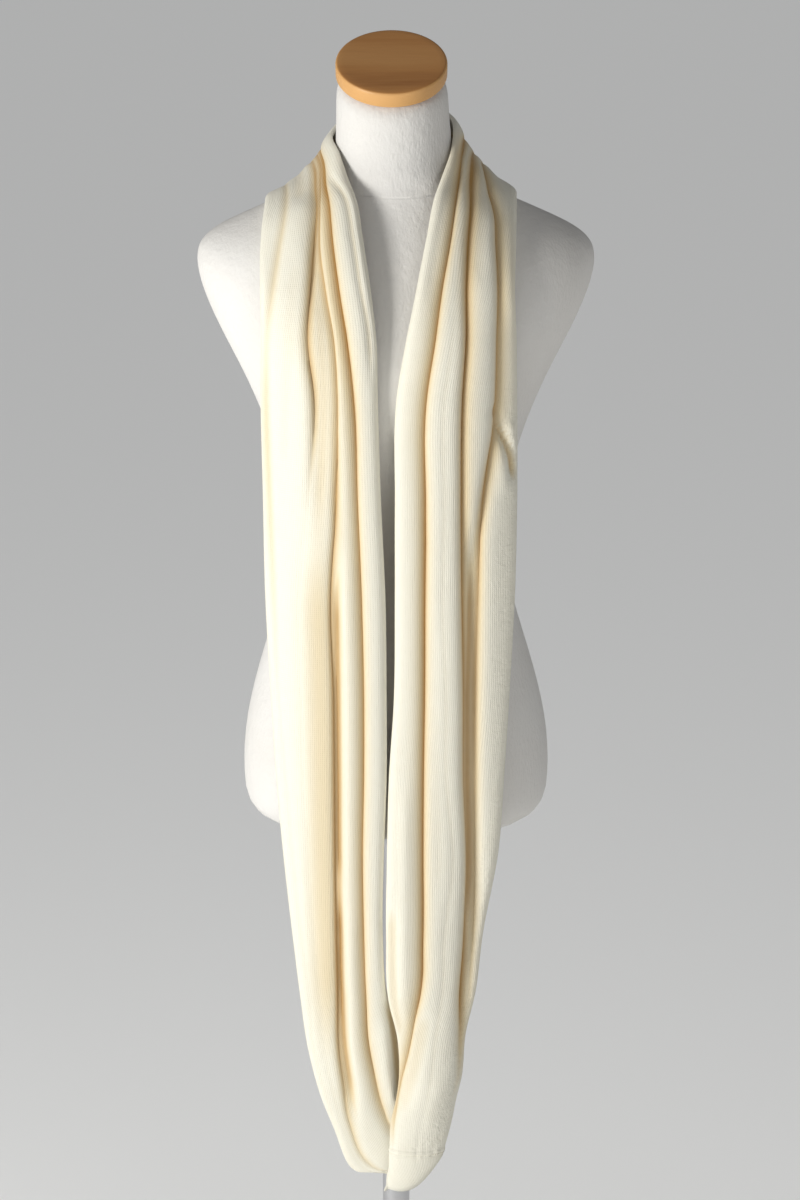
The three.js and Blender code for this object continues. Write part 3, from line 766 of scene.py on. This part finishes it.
# %% Which face the rolls stand on
TURN_FROM_ROW = 46
LOWEST_ROW = 50
SEAM_ROLL = 0.5
SEAM_ROWS = 3
PRESS_ROWS = [15, 18.5, 27.5, 31]
PRESSED_ROLL = 0.45


def roll_scale(row_places):
    last = len(table) - 1
    stops = [0, SEAM_ROWS, TURN_FROM_ROW, LOWEST_ROW, last]
    return np.interp(row_places, stops, [SEAM_ROLL, 1, 1, 0, -SEAM_ROLL])


def pressed_share(row_places):
    return np.interp(row_places, PRESS_ROWS, [1, PRESSED_ROLL, PRESSED_ROLL, 1])


# %% [markdown]
# Finer creases are listed one by one. Each is a line of rows and places across, a half width and a
# height in millimetres: soft ridges are above zero, and troughs are below it. A crease fades
# over a share of its length at either end, so that it never stops short.

# %% Creases listed one by one
RUN_OUT_SHARE = 0.22
CREASES = [
    # the left panel's sunk strip that shows low down in the slit, and the ridge beside it
    (
        [(40.9, 0.01), (41.5, 0.03), (42.0, 0.05), (43.0, 0.075), (44.0, 0.07), (45.2, 0.05)],
        5.5,
        -6.5,
    ),
    ([(41.2, 0.08), (42.0, 0.16), (43.0, 0.205), (44.0, 0.19), (45.0, 0.16)], 3.5, 2.0),
    # the slanting tuck in the right panel's outer strip, with the swell beside it
    (
        [(11.95, 0.765), (11.83, 0.79), (11.68, 0.84), (11.54, 0.89), (11.39, 0.93), (11.1, 0.955)],
        3.6,
        -6.5,
    ),
    ([(11.75, 0.90), (11.6, 0.93), (11.45, 0.955)], 4.0, 1.6),
    ([(11.6, 0.80), (11.3, 0.85), (11.0, 0.87)], 5.0, 1.4),
    # the lobe: its strips sink beside the lapped edge, and its face swells a little
    ([(8.2, 0.15), (6.6, 0.19), (5.2, 0.19), (4.2, 0.15)], 5.0, 1.8),
    ([(6.6, 0.08), (5.2, 0.09), (4.2, 0.08), (3.6, 0.05)], 7.0, -3.0),
    ([(5.0, 0.46), (4.0, 0.38), (3.0, 0.24), (2.0, 0.20), (0.9, 0.17)], 7.0, -2.6),
    ([(3.2, 0.62), (2.2, 0.58), (0.6, 0.60)], 10.0, 1.4),
    # the sunk strip between the right panel's third and fourth folds
    ([(11.0, 0.62), (9.0, 0.665), (8.0, 0.71), (7.0, 0.775), (6.0, 0.855), (5.2, 0.87)], 6.5, -7.5),
    ([(10.2, 0.32), (9.0, 0.36), (7.4, 0.46), (6.0, 0.54)], 7.0, -1.3),
    # the thin pleat that leaves the left panel's inner edge
    (
        [(27.6, 0.10), (28.6, 0.12), (30.0, 0.10), (31.0, 0.10), (31.8, 0.09), (32.6, 0.07), (34.0, 0.06)],
        2.6,
        -2.6,
    ),
    # the sunk strip high on the left panel, and where it runs out into the broad one
    (
        [(28.6, 0.33), (30.0, 0.415), (31.0, 0.46), (32.0, 0.48), (33.0, 0.48), (34.0, 0.45), (35.6, 0.53)],
        9.0,
        -3.4,
    ),
    # the sunk strip beside the second fold, golden with painted shade, and the broad strip's long slope
    # down to it
    ([(35.3, 0.35), (36.0, 0.40), (37.0, 0.42), (38.0, 0.435), (39.0, 0.46), (40.0, 0.495)], 5.0, -7.5),
    ([(39.2, 0.465), (40.0, 0.495), (41.0, 0.54), (42.0, 0.595), (43.0, 0.635), (44.4, 0.69)], 5.0, -7.5),
    ([(34.8, 0.46), (36.0, 0.55), (38.0, 0.58), (40.0, 0.65), (42.0, 0.74), (43.6, 0.79)], 15.0, -4.2),
    ([(30.5, 0.62), (32.5, 0.72), (34.0, 0.76), (35.0, 0.80)], 9.0, -1.4),
    ([(39.5, 0.24), (42.0, 0.30), (44.0, 0.36)], 6.0, -1.6),
    # over the shoulders and round the nape
    ([(13.5, 0.14), (15.5, 0.15), (17.5, 0.10)], 6.0, -1.5),
    ([(14.0, 0.64), (16.0, 0.60), (17.5, 0.48)], 6.0, -2.0),
    ([(17.0, 0.76), (19.0, 0.66), (21.0, 0.78), (23.0, 0.90), (25.5, 0.90)], 8.0, -2.2),
    ([(18.5, 0.60), (20.0, 0.66), (22.5, 0.64), (26.0, 0.60)], 6.0, -2.0),
    ([(21.5, 0.12), (23.5, 0.13), (26.0, 0.10)], 5.0, -2.0),
    ([(25.5, 0.60), (27.0, 0.52), (28.5, 0.54), (30.0, 0.60)], 10.0, -2.2),
]
print(len(CREASES), "creases are placed by hand")


def crease_height(length_grid, across_mm, widths):
    total = np.zeros_like(across_mm)
    for line, half, high in CREASES:
        lengths = np.interp([place for place, _ in line], range(len(table)), row_lengths)
        order = np.argsort(lengths)
        lengths = lengths[order]
        middles = np.array([across for _, across in line])[order]
        middle = np.interp(length_grid, lengths, middles) * widths
        run_out = RUN_OUT_SHARE * (lengths[-1] - lengths[0])
        ends = np.minimum(length_grid - lengths[0], lengths[-1] - length_grid) / run_out
        ends = np.clip(ends, 0, 1)
        fade = ends * ends * (3 - 2 * ends)
        total += high * fade * np.exp(-(((across_mm - middle) / half) ** 2))
    return total


# %% [markdown]
# The sheet is a grid of points. Rows crowd beside the joining seam and columns crowd towards the
# folds, where the shape changes fast. Each point has a direction across the cloth and one out of
# it, so that relief can be added.

# %% Places on the sheet
COLUMNS_A_STRIP = 13
CROWDED_SHARE = 0.55
EVEN_SHARE = 0.45
ROW_STEP = 4.0
SEAM_FINE_REACH = 9.0
SEAM_FINE_STEP = 0.75
FRAME_REACH_ALONG = 2.0
FRAME_REACH_ACROSS = 0.01


def sampled_lengths():
    fine = np.arange(0, SEAM_FINE_REACH, SEAM_FINE_STEP)
    last_even = BAND_LENGTH - SEAM_FINE_REACH
    even = np.linspace(SEAM_FINE_REACH, last_even, int(BAND_LENGTH / ROW_STEP))
    return np.concatenate([fine, even, BAND_LENGTH - fine[::-1]])


def across_places(values):
    first, last = np.zeros((len(values), 1)), np.ones((len(values), 1))
    marks = np.concatenate([first, values[:, FIRST_FOLD::2], last], axis=1)
    shares = (1 - np.cos(np.linspace(0, math.pi, COLUMNS_A_STRIP + 1))) / 2
    shares = CROWDED_SHARE * shares + EVEN_SHARE * np.linspace(0, 1, COLUMNS_A_STRIP + 1)
    strips = []
    for strip in range(FOLD_COUNT + 1):
        start, end = marks[:, strip:strip + 1], marks[:, strip + 1:strip + 2]
        strips.append(start + shares[:-1] * (end - start))
    return np.concatenate([*strips, marks[:, -1:]], axis=1)


def unit(vectors):
    return vectors / np.maximum(np.linalg.norm(vectors, axis=-1, keepdims=True), 1e-9)


def base_frame(values, across, lengths):
    reach = FRAME_REACH_ALONG
    ahead = section_points(band_values(np.clip(lengths + reach, 0, BAND_LENGTH))[0], across)
    behind = section_points(band_values(np.clip(lengths - reach, 0, BAND_LENGTH))[0], across)
    along = unit(ahead - behind)
    farther = section_points(values, across + FRAME_REACH_ACROSS)
    nearer = section_points(values, across - FRAME_REACH_ACROSS)
    sideways = unit(farther - nearer)
    return sideways, unit(np.cross(sideways, along))


# %% [markdown]
# Every fold takes height away from the rolls on both sides of it and pushes the lapping side
# over. How deep in a fold each point lies is kept for the colour, as painted fold shade.

# %% Relief of the folds
def fold_relief(values, across, widths, laps):
    height = np.full_like(across, ROLL_HEIGHT)
    shift = np.zeros_like(across)
    fold_shade_amount = np.zeros_like(across)
    for fold in range(FOLD_COUNT):
        column = FIRST_FOLD + 2 * fold
        place, depth = values[:, column, None], values[:, column + 1, None]
        lap = laps[:, fold, None]
        away = (across - place) * widths
        narrow = away / half_widths(away, lap)
        height -= depth / (1 + narrow**2)
        # painted shade: strongest on the fold's line, kept for the colour
        shade_tint = depth / ROLL_HEIGHT / (1 + (narrow * TINT_NARROWING) ** 2)
        fold_shade_amount = np.maximum(fold_shade_amount, shade_tint)
        over = np.abs(away) * (np.sign(away) == np.sign(lap))
        pushed = (over / LAP_REACH) * np.exp(1 - over / LAP_REACH)
        shift -= lap * depth / ROLL_HEIGHT * pushed
    return height, shift, fold_shade_amount


# %% [markdown]
# The joining seam gathers the cloth beside it into small puckers, which die away over a few
# centimetres, and its allowance stands up as a narrow welt.

# %% Relief of the seam
SEAM_PUCKER = 0.5
SEAM_PUCKER_PITCH = 7.5
SEAM_PUCKER_REACH = 14.0
SEAM_WELT = 1.3
SEAM_WELT_PLACE = 2.2
SEAM_WELT_WIDTH = 1.4


def seam_puckers(across_mm, seam_away):
    fade = np.exp(-seam_away / SEAM_PUCKER_REACH)
    return SEAM_PUCKER * fade * np.sin(across_mm * 2 * math.pi / SEAM_PUCKER_PITCH)


def seam_welt(seam_away):
    away = (seam_away - SEAM_WELT_PLACE) / SEAM_WELT_WIDTH
    return SEAM_WELT * np.exp(-(away**2))


# %% [markdown]
# Now each point is lifted off its section by the rolls, the creases and the seam, and moved
# sideways where a roll laps over. Towards both edges the last roll bends down like a quarter
# circle, because the tube is folded there.

# %% The sheet's grid
CREASE_TINT = 11.0
CREASE_RISE_AT_EDGE = 1.5


def sheet_grid():
    lengths = sampled_lengths()
    values, row_places = band_values(lengths)
    across = across_places(values)
    base = section_points(values, across)
    sideways, normal = base_frame(values, across, lengths)
    widths = np.linalg.norm(np.diff(base, axis=1), axis=2).sum(axis=1)[:, None]
    across_mm = across * widths
    edge = np.clip(np.minimum(across, 1 - across) * widths / EDGE_ROLL, 0, 1)
    crown = np.sqrt(1 - (1 - edge) ** 2)
    height, shift, fold_shade_amount = fold_relief(values, across, widths, fold_laps(row_places))
    height = np.maximum(height, 0) * crown * pressed_share(row_places)[:, None]
    length_grid = np.broadcast_to(lengths[:, None], across.shape)
    creases = crease_height(length_grid, across_mm, widths)
    height += creases * np.clip(edge * CREASE_RISE_AT_EDGE, 0, 1)
    # the creases' troughs get painted shade too
    fold_shade_amount = np.maximum(fold_shade_amount, np.clip(-creases / CREASE_TINT, 0, 1))
    seam_away = np.minimum(lengths, BAND_LENGTH - lengths)[:, None]
    height += seam_puckers(across_mm, seam_away)
    scale = roll_scale(row_places)[:, None]
    lift = scale * height + seam_welt(seam_away) * np.sign(scale)
    lapped = shift * crown * np.abs(scale)
    points = base + normal * lift[..., None] + sideways * lapped[..., None]
    return lengths, across_mm, points, sideways, normal, scale, fold_shade_amount * np.abs(scale), row_places


# %% [markdown]
# At both edges the tube is folded, so four more columns turn under the first roll. Their
# direction swings with the height of the rolls: straight back under a full roll, and straight
# out where there is none, at the lowest line.

# %% Turned edges
FLAP_SHARES = (0.12, 0.35, 0.65, 1.0)
FLAP_UNDER = 7.0
FLAP_FLAT = 1.6
FLAP_DROP = 0.54
FLAP_DROPPED_AT = 1 / 3
FULL_ROLL_GAIN = 1.4


def turned_edge(points, outward, normal, scale):
    full = np.clip(np.abs(scale) * FULL_ROLL_GAIN, 0, 1)
    angle = math.pi * full * np.sign(scale)
    reach = FLAP_FLAT + full * (FLAP_UNDER - FLAP_FLAT)
    direction = outward * np.cos(angle) - normal * np.sin(angle)
    sink = -normal * np.sign(scale) * full
    columns = []
    for share in FLAP_SHARES:
        drop = FLAP_DROP * math.sin(min(share / FLAP_DROPPED_AT, 1) * math.pi / 2)
        columns.append(points + direction * reach * share + sink * drop)
    return np.stack(columns, axis=1)


def full_grid():
    lengths, across_mm, points, sideways, normal, scale, fold_shade_amount, row_places = sheet_grid()
    low = turned_edge(points[:, 0], -sideways[:, 0], normal[:, 0], scale)
    high = turned_edge(points[:, -1], sideways[:, -1], normal[:, -1], scale)
    grid = np.concatenate([low[:, ::-1], points, high], axis=1)
    pad = len(FLAP_SHARES)
    fold_shade_amount = np.pad(fold_shade_amount, ((0, 0), (pad, pad)), mode="edge")
    extra = FLAP_UNDER * np.array(FLAP_SHARES)
    low_places = -np.tile(extra[::-1], (len(lengths), 1))
    high_places = across_mm[:, -1:] + extra
    cloth_across = np.concatenate([low_places, across_mm, high_places], axis=1)
    return lengths, cloth_across, grid, fold_shade_amount, row_places


# %% [markdown]
# The grid becomes one mesh with its own UV map, in metres of cloth, and two stored values: the
# painted fold shade, from how deep in a fold a point lies, and how crinkled the cloth is there.
# The crinkled places are the low right lobe, where it was handled at the seam, and the outer
# strip of the right panel.

# %% Sheet mesh
CLOTH_THICKNESS = 1.8 * MM
CRINKLE_EVERYWHERE = 0.12
CRINKLED = [
    {"row": 2.6, "rows": 2.6, "across": 0.80, "reach": 0.16, "amount": 1.0},
    {"row": 11.0, "rows": 1.6, "across": 0.90, "reach": 0.10, "amount": 0.8},
    {"row": 0.4, "rows": 0.8, "across": 0.5, "reach": 0.6, "amount": 0.6},
    {"row": 7.5, "rows": 2.5, "across": 0.92, "reach": 0.10, "amount": 0.8},
]


def crinkle_amount(row_places, across_share):
    total = np.full(across_share.shape, CRINKLE_EVERYWHERE)
    for place in CRINKLED:
        rows = ((row_places[:, None] - place["row"]) / place["rows"]) ** 2
        share = ((across_share - place["across"]) / place["reach"]) ** 2
        total += place["amount"] * np.exp(-rows - share)
    return np.clip(total, 0, 1)


def sheet_mesh():
    lengths, cloth_across, grid, fold_shade_amount, row_places = full_grid()
    rows, columns = grid.shape[:2]
    corner = np.arange(rows * columns).reshape(rows, columns)
    sides = [corner[:-1, :-1], corner[:-1, 1:], corner[1:, 1:], corner[1:, :-1]]
    quads = np.stack(sides, axis=-1)
    mesh = bpy.data.meshes.new("scarf_sheet")
    mesh.from_pydata((grid.reshape(-1, 3) * MM).tolist(), [], quads.reshape(-1, 4).tolist())
    uv = mesh.uv_layers.new(name="cloth")
    long_way = np.broadcast_to(lengths[:, None], cloth_across.shape)
    cloth_places = np.stack([cloth_across, long_way], axis=-1).reshape(-1, 2) * MM
    loops = np.empty(len(mesh.loops), dtype=np.int32)
    mesh.loops.foreach_get("vertex_index", loops)
    uv.data.foreach_set("uv", cloth_places[loops].ravel())
    share = cloth_across / cloth_across.max(axis=1, keepdims=True)
    stored = {"fold_depth": fold_shade_amount, "crinkle": crinkle_amount(row_places, share)}
    for name, amounts in stored.items():
        attribute = mesh.attributes.new(name, "FLOAT", "POINT")
        attribute.data.foreach_set("value", amounts.ravel().astype(np.float32))
    return mesh


def scarf_sheet():
    scarf = bpy.data.objects.new("scarf", sheet_mesh())
    bpy.context.collection.objects.link(scarf)
    apply_modifier(scarf, "SOLIDIFY", thickness=CLOTH_THICKNESS, offset=0)
    only(scarf)
    bpy.ops.object.shade_smooth_by_angle(angle=math.radians(60))
    return scarf


SCARF_NODES = ["scarf_right_front", "scarf_behind_neck", "scarf_left_front", "scarf_bottom_turn"]
scarf = scarf_sheet()
jersey = jersey_material()
keep_as(scarf, jersey, "jersey", *SCARF_NODES)
area = sum(face.area for face in scarf.data.polygons) / 2
print("the scarf shows", round(area, 3), "square metres of cloth")

# %% [markdown]
# The size of the finished model is printed beside the rigid model's, so that the two can be
# compared. Cloth may stand a little proud, and nothing else may.

# %% Sizes and finish
low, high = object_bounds()
grown = (high - low) - (model_high - model_low)
print("grew by", [round(side / MM, 1) for side in grown], "mm")
